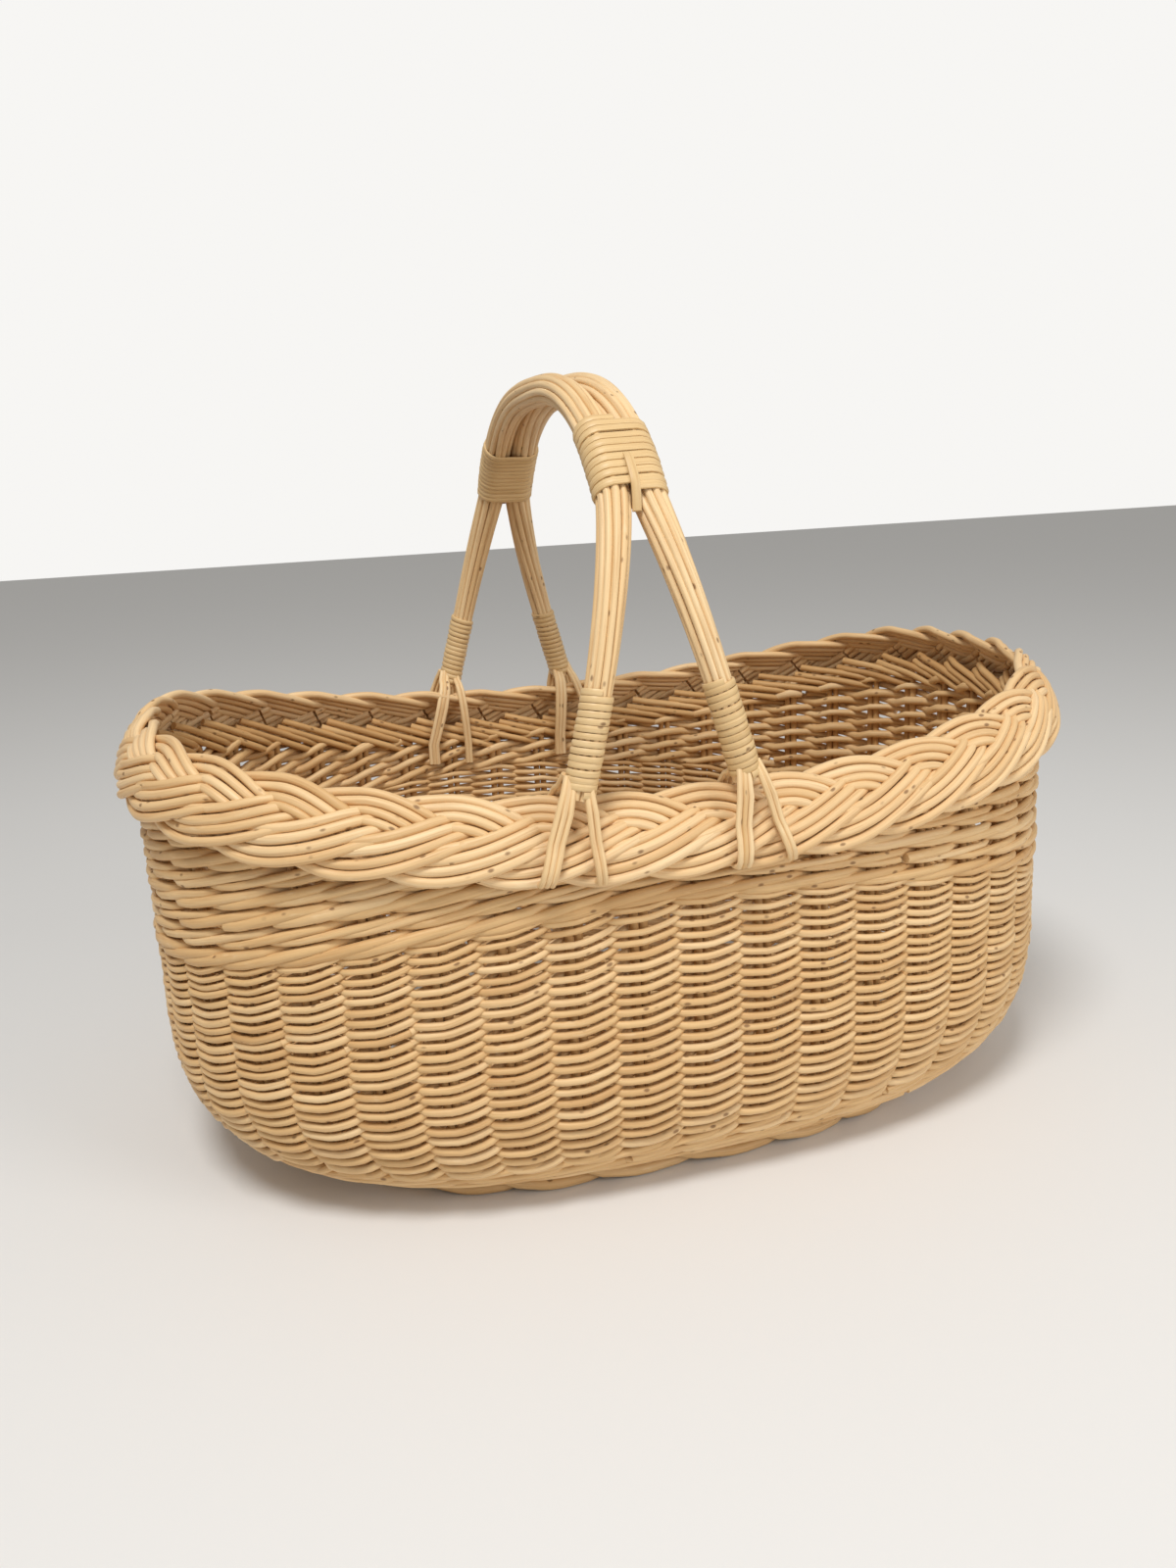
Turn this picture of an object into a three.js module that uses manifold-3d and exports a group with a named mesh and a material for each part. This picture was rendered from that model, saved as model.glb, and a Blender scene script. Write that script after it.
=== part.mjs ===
// A willow market basket with a fixed arched handle, as an assembly of its real pieces.
// Millimetres, +Z up. The origin is the middle of the footprint, on the surface that the basket stands on.
// X runs along the basket's length, Y across it, and the handle arches over from front (-Y) to back (+Y).
import * as THREE from "three";
import { mergeVertices } from "three/addons/utils/BufferGeometryUtils.js";
import Module from "manifold-3d";

// Clearance between pieces that touch on the real basket.
const CLEARANCE = 0.3;

// Plan of the basket: superellipses whose squareness is the exponent.
const BASE_HALF_LENGTH = 206;
const BASE_HALF_WIDTH = 153;
const BASE_SQUARENESS = 2.9;
const WALL_HALF_LENGTH = 294;
const WALL_HALF_WIDTH = 187;
const WALL_SQUARENESS = 2.65;

// The wall curves out over the foot ring and stands upright from the belly height up.
const BELLY_HEIGHT = 98;
const BELLY_ROUNDNESS = 2.3;

// The rim is lowest beside the handle and sweeps up to both ends.
const RIM_HEIGHT_AT_HANDLE = 224;
const RIM_RISE_AT_ENDS = 40;

// Rods.
const STAKE_DIAMETER = 5;
const STAKE_PAIRS = 44;
const WEAVE_THICKNESS = 7;
const WEAVE_HOLLOW = 3.5;
const HANDLE_ROD_DIAMETER = 3.3;

// Foot ring, base and the bands of the wall.
const FOOT_RING_HEIGHT = 13;
const FOOT_RING_WIDTH = 15;
const FOOT_FLAT_WIDTH = 9;
const BASE_RAISE = 8;
const BASE_THICKNESS = 10;
const FOOT_CORNER = 4.3;
const UPPER_WALE_START = 140;

// Slath: sticks of the base.
const CROSS_STICK_COUNT = 7;
const CROSS_STICK_DIAMETER = 10;
const CROSS_STICK_PITCH = 48;
const LONG_STICK_COUNT = 3;
const LONG_STICK_DIAMETER = 6;
const LONG_STICK_PITCH = 8;
const STICK_SIDES = 12;

// Plaited border: an oval band, leaning in at its top.
const PLAIT_HALF_BREADTH = 22;
const PLAIT_HALF_THICKNESS = 7;
const PLAIT_LEAN_DEGREES = 30;

// Band that the bent stake tops make inside the rim.
const STAKE_BAND_HALF_THICKNESS = 4.4;
const STAKE_BAND_HALF_HEIGHT = 7;
const STAKE_BAND_DROP = 10;

// Handle: two bundles of rods side by side, pulled thinner where they are bound into legs.
const HANDLE_OFFSET = -22;
const HANDLE_TOP = 467;
const HANDLE_ROUNDNESS = 2.6;
const BUNDLE_RADIUS = 9.5;
const LEG_RADIUS = 7.6;
const LEG_SPREAD = 46;
const LEG_LIFT = 2;
const LEG_CURVE = 1.15;

// Bindings of thin willow skein.
const SKEIN_THICKNESS = 1.6;
const SKEIN_GAP = 0.5;
const LEG_BINDING_LENGTH = 50;
const LEG_BINDING_TURNS = 14;
const LEG_BINDING_START = 25;
const SHOULDER_BINDING_START = 176;
const SHOULDER_BINDING_LENGTH = 46;
const FRONT_SHOULDER_TURNS = 10;
const BACK_SHOULDER_TURNS = 12;
const STRAP_WIDTH = 5;
const STRAP_LENGTH = 16;
const STRAP_TUCK = 8;

// Tails: handle rods that straddle the rim below each leg. Angles are round the plait's section.
const LEG_RODS = 5;
const LEFT_LEG_OUTER_RODS = 3;
const RIGHT_LEG_OUTER_RODS = 2;
const TAIL_CLEARANCE = 1.2;
const TAIL_FACE_ANGLE = 112;
const TAIL_TUCK_ANGLE = 195;
const TAIL_CREST_ANGLE = 0;
const TAIL_INNER_ANGLE = -22;
const TAIL_INSIDE_DROP = 20;
const OUTER_GROUP_SPLAY = 17;
const INNER_GROUP_SPLAY = -4;

// Fineness of the curved surfaces. The wale that opens the wall takes the first steps of its curve.
const CURVE_STEPS = 5;
const WALE_CURVE_STEPS = 2;
const ARCH_POINTS = 48;
const ARCH_STEPS = 40;
const BUNDLE_SIDES = 10;
const PLAIT_SIDES = 10;
const BAND_SIDES = 6;
const TAIL_STEPS = 4;
const SKEIN_CORNERS = 8;
const TURN_NUDGE = 1e-3;

const wasm = await Module();
wasm.setup();

const basket = new THREE.Group();
const willow = { color: 0xd2ab70, roughness: 0.62, metalness: 0 };
const materials = {
  stake: new THREE.MeshStandardMaterial({ ...willow, color: 0xb98a50 }),
  weave: new THREE.MeshStandardMaterial({ ...willow }),
  border: new THREE.MeshStandardMaterial({ ...willow, color: 0xdcb67c }),
  handle: new THREE.MeshStandardMaterial({ ...willow, color: 0xd8b47c, roughness: 0.5 }),
  skein: new THREE.MeshStandardMaterial({ ...willow, color: 0xcfae74, roughness: 0.48 }),
};

function addPiece(name, geometry, material) {
  const piece = new THREE.Mesh(geometry, material.clone());
  piece.name = name;
  basket.add(piece);
}

// Six times the volume that a list of triangles encloses.
function signedVolume(points, triangles) {
  let volume = 0;
  for (let i = 0; i < triangles.length; i += 3) {
    const [a, b, c] = [points[triangles[i]], points[triangles[i + 1]], points[triangles[i + 2]]];
    volume += a.dot(new THREE.Vector3().crossVectors(b, c));
  }
  return volume;
}

// A closed body through a row of rings of points. A looped row joins its last ring to its first.
function bodyThrough(rings, looped) {
  const around = rings[0].length;
  const points = rings.flat();
  const triangles = [];
  const spans = looped ? rings.length : rings.length - 1;
  for (let i = 0; i < spans; i++) {
    const next = (i + 1) % rings.length;
    for (let j = 0; j < around; j++) {
      const k = (j + 1) % around;
      triangles.push(i * around + j, i * around + k, next * around + k);
      triangles.push(i * around + j, next * around + k, next * around + j);
    }
  }
  if (!looped) {
    const end = (rings.length - 1) * around;
    for (let j = 1; j < around - 1; j++) {
      triangles.push(0, j + 1, j);
      triangles.push(end, end + j, end + j + 1);
    }
  }
  if (signedVolume(points, triangles) < 0) triangles.reverse();
  const geometry = new THREE.BufferGeometry().setFromPoints(points);
  geometry.setIndex(triangles);
  return geometry;
}

// manifold-3d solids and back.
function toSolid(geometry) {
  const bare = new THREE.BufferGeometry().setAttribute("position", geometry.getAttribute("position"));
  bare.setIndex(geometry.getIndex());
  const merged = mergeVertices(bare, 1e-4);
  return new wasm.Manifold(
    new wasm.Mesh({
      numProp: 3,
      vertProperties: new Float32Array(merged.attributes.position.array),
      triVerts: new Uint32Array(merged.index.array),
    }),
  );
}

function toGeometry(solid) {
  const mesh = solid.getMesh();
  const positions = new Float32Array(mesh.vertProperties);
  const geometry = new THREE.BufferGeometry();
  geometry.setAttribute("position", new THREE.BufferAttribute(positions, 3));
  geometry.setIndex(new THREE.BufferAttribute(new Uint32Array(mesh.triVerts), 1));
  return geometry;
}

// Plan curves

function ovalPoint(halfLength, halfWidth, squareness, turn) {
  const c = Math.cos(turn);
  const s = Math.sin(turn);
  const power = 2 / squareness;
  const x = halfLength * Math.sign(c) * Math.abs(c) ** power;
  const y = halfWidth * Math.sign(s) * Math.abs(s) ** power;
  return new THREE.Vector2(x, y);
}

// Half the width of an oval at a distance along its length.
function ovalReach(halfLength, halfWidth, squareness, x) {
  return halfWidth * (1 - Math.abs(x / halfLength) ** squareness) ** (1 / squareness);
}

// Turns that divide an oval's outline into equal lengths. The first lies half a step past the +X end.
function evenTurns(count, halfLength, halfWidth, squareness) {
  const fine = 2880;
  const lengths = [0];
  let before = ovalPoint(halfLength, halfWidth, squareness, 0);
  for (let i = 1; i <= fine; i++) {
    const here = ovalPoint(halfLength, halfWidth, squareness, (2 * Math.PI * i) / fine);
    lengths.push(lengths[i - 1] + here.distanceTo(before));
    before = here;
  }
  const turns = [];
  let at = 0;
  for (let k = 0; k < count; k++) {
    const wanted = ((k + 0.5) / count) * lengths[fine];
    while (lengths[at + 1] < wanted) at++;
    const share = (wanted - lengths[at]) / (lengths[at + 1] - lengths[at]);
    turns.push((2 * Math.PI * (at + share)) / fine);
  }
  return turns;
}

// How far the wall has come from the base's outline to its own, from 0 to 1.
const wallBottom = FOOT_RING_HEIGHT + CLEARANCE;
const curveHeight = BELLY_HEIGHT - wallBottom;
function wallShare(height) {
  const left = 1 - THREE.MathUtils.clamp((height - wallBottom) / curveHeight, 0, 1);
  return (1 - left ** BELLY_ROUNDNESS) ** (1 / BELLY_ROUNDNESS);
}

// A point of the wall: depth is how far it lies inside the outer face, square to it.
function wallPoint(turn, height, depth) {
  const share = wallShare(height);
  const left = 1 - THREE.MathUtils.clamp((height - wallBottom) / curveHeight, 0, 1);
  const mix = (from, to) => from + (to - from) * share;
  const length = mix(BASE_HALF_LENGTH, WALL_HALF_LENGTH);
  const width = mix(BASE_HALF_WIDTH, WALL_HALF_WIDTH);
  const squareness = mix(BASE_SQUARENESS, WALL_SQUARENESS);
  const flat = ovalPoint(length, width, squareness, turn);
  const ahead = ovalPoint(length, width, squareness, turn + TURN_NUDGE);
  const behind = ovalPoint(length, width, squareness, turn - TURN_NUDGE);
  const along = ahead.sub(behind).normalize();
  const wallEdge = ovalPoint(WALL_HALF_LENGTH, WALL_HALF_WIDTH, WALL_SQUARENESS, turn);
  const baseEdge = ovalPoint(BASE_HALF_LENGTH, BASE_HALF_WIDTH, BASE_SQUARENESS, turn);
  const overhang = wallEdge.distanceTo(baseEdge);
  const outward = share ** (BELLY_ROUNDNESS - 1) / overhang;
  const downward = left ** (BELLY_ROUNDNESS - 1) / curveHeight;
  const level = (depth * outward) / Math.hypot(outward, downward);
  const raise = (depth * downward) / Math.hypot(outward, downward);
  return new THREE.Vector3(flat.x - along.y * level, flat.y + along.x * level, height + raise);
}

// Heights that divide the wall's curve evenly.
const curveHeights = Array.from({ length: CURVE_STEPS + 1 }, (_, i) => {
  const angle = (Math.PI / 2) * (i / CURVE_STEPS);
  return wallBottom + curveHeight * (1 - Math.max(Math.cos(angle), 0) ** (2 / BELLY_ROUNDNESS));
});
const bottomWaleTop = curveHeights[WALE_CURVE_STEPS];

function rimHeightAt(x) {
  return RIM_HEIGHT_AT_HANDLE + RIM_RISE_AT_ENDS * (x / WALL_HALF_LENGTH) ** 2;
}

function rimHeight(turn) {
  return rimHeightAt(ovalPoint(WALL_HALF_LENGTH, WALL_HALF_WIDTH, WALL_SQUARENESS, turn).x);
}

// A point beside the rim's centre line, which is the top of the wall's outer face:
// out is measured away from the basket, up above the centre line.
function rimPoint(turn, out, up) {
  const point = wallPoint(turn, BELLY_HEIGHT, -out);
  point.z = rimHeight(turn) + up;
  return point;
}

// The plan is drawn with one straight side for each pair of stakes, which stands at the side's middle.
const planTurns = evenTurns(STAKE_PAIRS, WALL_HALF_LENGTH, WALL_HALF_WIDTH, WALL_SQUARENESS);

// A point inside the base's outline, level with it.
function insetPoint(turn, inset, height) {
  const edge = (at) => ovalPoint(BASE_HALF_LENGTH, BASE_HALF_WIDTH, BASE_SQUARENESS, at);
  const along = edge(turn + TURN_NUDGE).sub(edge(turn - TURN_NUDGE)).normalize();
  const flat = edge(turn);
  return new THREE.Vector3(flat.x - along.y * inset, flat.y + along.x * inset, height);
}

// A shell of the wall through heights that are given as a function of the turn. Its lower edge may reach
// inwards over the foot ring by rootInset.
function wallBand(heightsAt, rootInset = 0) {
  const rings = planTurns.map((turn) => {
    const outer = [];
    const inner = [];
    if (rootInset > 0) {
      outer.push(insetPoint(turn, rootInset, wallBottom));
      inner.push(insetPoint(turn, rootInset, wallBottom + WEAVE_THICKNESS));
    }
    for (const height of heightsAt(turn)) {
      outer.push(wallPoint(turn, height, 0));
      inner.unshift(wallPoint(turn, height, WEAVE_THICKNESS));
    }
    return [...outer, ...inner];
  });
  return bodyThrough(rings, true);
}

// A shell of the wall whose outer face swells over each pair of stakes, where the rods pass in front, and
// draws in between them, where they pass to the inside. Its inner face is straight behind each pair.
function ribbedBand(heightsAt) {
  const face = (depth) =>
    planTurns.map((turn) => heightsAt(turn).map((height) => wallPoint(turn, height, depth)));
  const [flush, hollow, inner] = [face(0), face(WEAVE_HOLLOW), face(WEAVE_THICKNESS)];
  const rings = planTurns.flatMap((_, i) => {
    const next = (i + 1) % STAKE_PAIRS;
    const atStakes = (side) => side[i].map((point, j) => point.clone().lerp(side[next][j], 0.5));
    return [
      [...hollow[i], ...inner[i].toReversed()],
      [...atStakes(flush), ...atStakes(inner).reverse()],
    ];
  });
  return bodyThrough(rings, true);
}

// A point of the plaited border's section: angle 0 is its leaning top edge, 90 degrees its outer face.
const plaitLean = THREE.MathUtils.degToRad(PLAIT_LEAN_DEGREES);
function plaitOffset(angle, grow) {
  const breadth = (PLAIT_HALF_BREADTH + grow) * Math.cos(angle);
  const thick = (PLAIT_HALF_THICKNESS + grow) * Math.sin(angle);
  const out = -breadth * Math.sin(plaitLean) + thick * Math.cos(plaitLean);
  const up = breadth * Math.cos(plaitLean) + thick * Math.sin(plaitLean);
  return { out, up };
}
// How far the border reaches down at the wall's outer face.
const plaitDropAtWall =
  1 / Math.hypot(Math.cos(plaitLean) / PLAIT_HALF_BREADTH, Math.sin(plaitLean) / PLAIT_HALF_THICKNESS);

// Foot, base and wall

const footCentre = FOOT_RING_WIDTH / 2;

function makeFootRing() {
  const flat = FOOT_FLAT_WIDTH / 2;
  const half = FOOT_RING_WIDTH / 2;
  const section = [
    [-flat, 0],
    [flat, 0],
    [half, FOOT_CORNER],
    [half, FOOT_RING_HEIGHT - FOOT_CORNER],
    [flat, FOOT_RING_HEIGHT],
    [-flat, FOOT_RING_HEIGHT],
    [-half, FOOT_RING_HEIGHT - FOOT_CORNER],
    [-half, FOOT_CORNER],
  ];
  const rings = planTurns.map((turn) =>
    section.map(([out, up]) => insetPoint(turn, footCentre - out, up)),
  );
  addPiece("foot_ring", bodyThrough(rings, true), materials.weave);
}

// The base weave fills the foot ring and holds the sticks in channels.
const baseInset = FOOT_RING_WIDTH + CLEARANCE;
const baseMiddle = BASE_RAISE + BASE_THICKNESS / 2;

function crossStickBody(x, grow) {
  const reach = ovalReach(BASE_HALF_LENGTH, BASE_HALF_WIDTH, BASE_SQUARENESS, x);
  const length = 2 * (reach - baseInset - CROSS_STICK_DIAMETER);
  return new THREE.CylinderGeometry(
    CROSS_STICK_DIAMETER / 2 + grow,
    CROSS_STICK_DIAMETER / 2 + grow,
    length + 2 * grow,
    STICK_SIDES,
  ).translate(x, 0, baseMiddle);
}

function longStickBody(y, grow) {
  const length = 2 * (BASE_HALF_LENGTH - baseInset - CROSS_STICK_DIAMETER);
  return new THREE.CylinderGeometry(
    LONG_STICK_DIAMETER / 2 + grow,
    LONG_STICK_DIAMETER / 2 + grow,
    length + 2 * grow,
    STICK_SIDES,
  )
    .rotateZ(Math.PI / 2)
    .translate(0, y, baseMiddle);
}

// The split through a cross stick that the long sticks pass.
function stickSplit(x) {
  const width = (LONG_STICK_COUNT - 1) * LONG_STICK_PITCH + LONG_STICK_DIAMETER + 2 * CLEARANCE;
  const height = LONG_STICK_DIAMETER + 2 * CLEARANCE;
  return new THREE.BoxGeometry(2 * CROSS_STICK_DIAMETER, width, height).translate(x, 0, baseMiddle);
}

function spread(count, pitch) {
  return Array.from({ length: count }, (_, i) => (i - (count - 1) / 2) * pitch);
}

function makeBase() {
  const rings = [BASE_RAISE, BASE_RAISE + BASE_THICKNESS].map((height) =>
    planTurns.map((turn) => insetPoint(turn, baseInset, height)),
  );
  let weave = toSolid(bodyThrough(rings, false));
  spread(CROSS_STICK_COUNT, CROSS_STICK_PITCH).forEach((x, i) => {
    weave = weave.subtract(toSolid(crossStickBody(x, CLEARANCE)));
    const stick = toSolid(crossStickBody(x, 0)).subtract(toSolid(stickSplit(x)));
    addPiece(`base_cross_stick_${i + 1}`, toGeometry(stick), materials.stake);
  });
  spread(LONG_STICK_COUNT, LONG_STICK_PITCH).forEach((y, i) => {
    weave = weave.subtract(toSolid(longStickBody(y, CLEARANCE)));
    addPiece(`base_long_stick_${i + 1}`, longStickBody(y, 0), materials.stake);
  });
  addPiece("base_weave", toGeometry(weave), materials.weave);
}

function makeWall() {
  const rimWallTop = (turn) => rimHeight(turn) - plaitDropAtWall - CLEARANCE;
  const waleHeights = curveHeights.slice(0, WALE_CURVE_STEPS + 1);
  const bellyStart = bottomWaleTop + 2 * CLEARANCE;
  const bellyHeights = [bellyStart, ...curveHeights.slice(WALE_CURVE_STEPS + 1), UPPER_WALE_START];
  const upperStart = UPPER_WALE_START + CLEARANCE;
  addPiece("bottom_wale", wallBand(() => waleHeights, FOOT_RING_WIDTH - CLEARANCE), materials.weave);
  addPiece("belly_weave", ribbedBand(() => bellyHeights), materials.weave);
  addPiece("upper_wale", ribbedBand((turn) => [upperStart, rimWallTop(turn)]), materials.weave);
}

// Stakes stand in pairs against the inside of the weave. Their tops bend over and make one closed band.
const stakeDepth = WEAVE_THICKNESS + CLEARANCE + STAKE_DIAMETER / 2;
const bandOut = -(WEAVE_THICKNESS + CLEARANCE + STAKE_BAND_HALF_THICKNESS);
const bandUp = -STAKE_BAND_DROP;

function stakePair(turn, nextTurn) {
  const rings = [];
  const top = (rimHeight(turn) + rimHeight(nextTurn)) / 2 + bandUp;
  for (const height of [...curveHeights, top]) {
    const [before, after] = [turn, nextTurn].map((at) => wallPoint(at, height, stakeDepth));
    const deeper = [turn, nextTurn].map((at) => wallPoint(at, height, stakeDepth + 1));
    const middle = before.clone().lerp(after, 0.5);
    const across = after.clone().sub(before).normalize();
    const face = deeper[0].lerp(deeper[1], 0.5).sub(middle).normalize();
    const corner = (a, b) =>
      middle
        .clone()
        .addScaledVector(across, a * STAKE_DIAMETER)
        .addScaledVector(face, (b * STAKE_DIAMETER) / 2);
    rings.push([corner(-1, -1), corner(1, -1), corner(1, 1), corner(-1, 1)]);
  }
  return toSolid(bodyThrough(rings, false));
}

function makeStakes() {
  const rings = planTurns.map((turn) =>
    Array.from({ length: BAND_SIDES }, (_, j) => {
      const angle = (2 * Math.PI * (j + 0.5)) / BAND_SIDES;
      return rimPoint(
        turn,
        bandOut + STAKE_BAND_HALF_THICKNESS * Math.cos(angle),
        bandUp + STAKE_BAND_HALF_HEIGHT * Math.sin(angle),
      );
    }),
  );
  const band = toSolid(bodyThrough(rings, true));
  const pairs = planTurns.map((turn, i) => stakePair(turn, planTurns[(i + 1) % STAKE_PAIRS]));
  const stakes = wasm.Manifold.union([band, ...pairs]);
  addPiece("stakes", toGeometry(stakes), materials.stake);
}

// Handle

const legBottom = RIM_HEIGHT_AT_HANDLE + LEG_LIFT;
const archHeight = HANDLE_TOP - BUNDLE_RADIUS - legBottom;
const archHalfWidth = WALL_HALF_WIDTH;
const pairSpacing = BUNDLE_RADIUS + CLEARANCE / 2;

// The middle line between the two bundles, from the front foot over to the back foot.
const archCurve = new THREE.CatmullRomCurve3(
  Array.from({ length: ARCH_POINTS + 1 }, (_, i) => {
    const turn = (Math.PI * i) / ARCH_POINTS;
    const flat = ovalPoint(archHalfWidth, archHeight, HANDLE_ROUNDNESS, Math.PI - turn);
    return new THREE.Vector3(HANDLE_OFFSET, flat.x, legBottom + Math.abs(flat.y));
  }),
);
archCurve.arcLengthDivisions = ARCH_POINTS * 16;
const archLength = archCurve.getLength();

// Half the distance between the two bundles at a distance along the arch.
function halfSpread(distance) {
  const fromFoot = Math.min(distance, archLength - distance);
  const climb = (fromFoot - LEG_BINDING_START) / (SHOULDER_BINDING_START - LEG_BINDING_START);
  return pairSpacing + (LEG_SPREAD - pairSpacing) * Math.max(1 - climb, 0) ** LEG_CURVE;
}

// Radius of a bundle at a distance along the arch.
function bundleRadius(distance) {
  const fromFoot = Math.min(distance, archLength - distance);
  const bound = LEG_BINDING_START + LEG_BINDING_LENGTH;
  const share = THREE.MathUtils.clamp((fromFoot - bound) / (SHOULDER_BINDING_START - bound), 0, 1);
  return LEG_RADIUS + (BUNDLE_RADIUS - LEG_RADIUS) * share;
}

// Position and directions on a bundle's centre line. side is -1 or 1, and 0 is the middle line.
function bundleFrame(distance, side) {
  const place = (d) => {
    const point = archCurve.getPointAt(THREE.MathUtils.clamp(d / archLength, 0, 1));
    point.x += side * halfSpread(THREE.MathUtils.clamp(d, 0, archLength));
    return point;
  };
  const middle = place(distance);
  const along = place(distance + 0.5).sub(place(distance - 0.5)).normalize();
  const out = new THREE.Vector3(1, 0, 0).cross(along).normalize().negate();
  const across = new THREE.Vector3().crossVectors(along, out).normalize();
  return { middle, along, across, out: new THREE.Vector3().crossVectors(across, along).normalize() };
}

function framePoint(frame, across, out) {
  return frame.middle.clone().addScaledVector(frame.across, across).addScaledVector(frame.out, out);
}

function bundleBody(side, grow) {
  const rings = [];
  for (let i = 0; i <= ARCH_STEPS; i++) {
    const distance = -grow + ((archLength + 2 * grow) * i) / ARCH_STEPS;
    const frame = bundleFrame(distance, side);
    frame.middle.z -= i === 0 || i === ARCH_STEPS ? grow : 0;
    const radius = bundleRadius(distance) + grow;
    rings.push(
      Array.from({ length: BUNDLE_SIDES }, (_, j) => {
        const angle = (2 * Math.PI * j) / BUNDLE_SIDES;
        return framePoint(frame, radius * Math.cos(angle), radius * Math.sin(angle));
      }),
    );
  }
  return bodyThrough(rings, false);
}

// Corners of one turn of skein round one bundle, or round both where halfGap is more than 0.
const cornerAngle = (2 * Math.PI) / SKEIN_CORNERS;
function turnCorners(radius, halfGap) {
  const reach = (radius + CLEARANCE + SKEIN_THICKNESS / 2) / Math.cos(cornerAngle / 2);
  const corners = [];
  for (let k = 0; k < SKEIN_CORNERS; k++) {
    const angle = cornerAngle * (k - SKEIN_CORNERS / 4);
    const [c, s] = [Math.cos(angle), Math.sin(angle)];
    const flat = Math.abs(c) < 1e-6;
    const shifts = flat && halfGap > 0 ? [s * halfGap, -s * halfGap] : [Math.sign(c) * halfGap];
    for (const shift of shifts) corners.push([shift + reach * (flat ? 0 : c), reach * s, shift]);
  }
  return corners;
}

let leastGap = Infinity;

// One unbroken strip of skein, wound round a bundle or round both, as wide as its turns leave room for.
function makeBinding(name, side, start, length, turns, halfGap) {
  const corners = turnCorners(halfGap > 0 ? BUNDLE_RADIUS : LEG_RADIUS, halfGap);
  const perTurn = corners.length;
  const steps = turns * perTurn;
  const margin = length / turns / 2;
  const stations = Array.from({ length: steps + 1 }, (_, i) => {
    const frame = bundleFrame(start + margin + ((length - 2 * margin) * i) / steps, side);
    const [across, out, shift] = corners[i % perTurn];
    const centre = framePoint(frame, across, out);
    const spoke = centre.clone().sub(framePoint(frame, shift, 0));
    spoke.addScaledVector(frame.along, -spoke.dot(frame.along)).normalize();
    return { centre, spoke, along: frame.along };
  });
  let leastPitch = Infinity;
  for (let i = 0; i + perTurn <= steps; i++) {
    leastPitch = Math.min(leastPitch, stations[i].centre.distanceTo(stations[i + perTurn].centre));
  }
  const halfWidth = (leastPitch - SKEIN_GAP) / 2;
  const rings = stations.map(({ centre, spoke, along }) => {
    const corner = (a, b) =>
      centre
        .clone()
        .addScaledVector(along, a * halfWidth)
        .addScaledVector(spoke, (b * SKEIN_THICKNESS) / 2);
    return [corner(-1, -1), corner(1, -1), corner(1, 1), corner(-1, 1)];
  });
  let gap = Infinity;
  for (let i = 0; i + perTurn <= steps; i++) {
    for (const near of [rings[i][1], rings[i][2]]) {
      for (const far of [rings[i + perTurn][0], rings[i + perTurn][3]]) {
        gap = Math.min(gap, near.distanceTo(far));
      }
    }
  }
  leastGap = Math.min(leastGap, gap);
  console.log(`${name}: ${turns} turns, least gap to itself ${gap.toFixed(2)} mm`);
  addPiece(name, bodyThrough(rings, false), materials.skein);
}

// A flat strip with rounded edges along a path that crosses the rim.
function makeStrip(name, path, width, material) {
  const curve = new THREE.CatmullRomCurve3(path);
  const rings = [];
  const steps = path.length - 1;
  for (let i = 0; i <= steps; i++) {
    const middle = path[i];
    const along = curve.getTangent(i / steps).normalize();
    const across = new THREE.Vector3(1, 0, 0).addScaledVector(along, -along.x).normalize();
    const face = new THREE.Vector3().crossVectors(along, across);
    const half = HANDLE_ROD_DIAMETER / 2;
    const corner = (a, b) => middle.clone().addScaledVector(across, a).addScaledVector(face, b);
    const wide = width / 2;
    const flat = wide - half / 2;
    rings.push([
      corner(-wide, 0),
      corner(-flat, -half),
      corner(flat, -half),
      corner(wide, 0),
      corner(flat, half),
      corner(-flat, half),
    ]);
  }
  addPiece(name, bodyThrough(rings, false), material);
}

// The rods of a leg part into four groups. Two cross the border's outer face and tuck in under it,
// and two run down inside, over the band of stake tops.
const tailStandoff = TAIL_CLEARANCE + HANDLE_ROD_DIAMETER / 2;
const legFace = LEG_RADIUS + tailStandoff;
const tailTop = LEG_BINDING_START + LEG_LIFT - HANDLE_ROD_DIAMETER;

function outsideTail() {
  const path = [
    { out: legFace, up: tailTop, onLeg: true },
    { out: legFace, up: tailTop / 2, onLeg: true },
  ];
  for (let i = 0; i <= TAIL_STEPS; i++) {
    const degrees = THREE.MathUtils.lerp(TAIL_FACE_ANGLE, TAIL_TUCK_ANGLE, i / TAIL_STEPS);
    path.push(plaitOffset(THREE.MathUtils.degToRad(degrees), tailStandoff));
  }
  return path;
}

function insideTail() {
  const path = [{ out: -legFace, up: tailTop, onLeg: true }];
  for (const degrees of [TAIL_CREST_ANGLE, TAIL_INNER_ANGLE]) {
    path.push(plaitOffset(THREE.MathUtils.degToRad(degrees), tailStandoff));
  }
  const bandFace = bandOut - STAKE_BAND_HALF_THICKNESS - tailStandoff;
  const stakeFace = -(stakeDepth + STAKE_DIAMETER / 2) - tailStandoff;
  const bandBottom = bandUp - STAKE_BAND_HALF_HEIGHT;
  path.push({ out: bandFace, up: bandUp + STAKE_BAND_HALF_HEIGHT });
  path.push({ out: bandFace, up: bandUp });
  path.push({ out: bandFace, up: bandBottom });
  path.push({ out: (bandFace + stakeFace) / 2, up: bandBottom - TAIL_INSIDE_DROP / 4 });
  path.push({ out: stakeFace, up: bandBottom - TAIL_INSIDE_DROP / 2 });
  path.push({ out: stakeFace, up: bandBottom - TAIL_INSIDE_DROP });
  return path;
}

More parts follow.
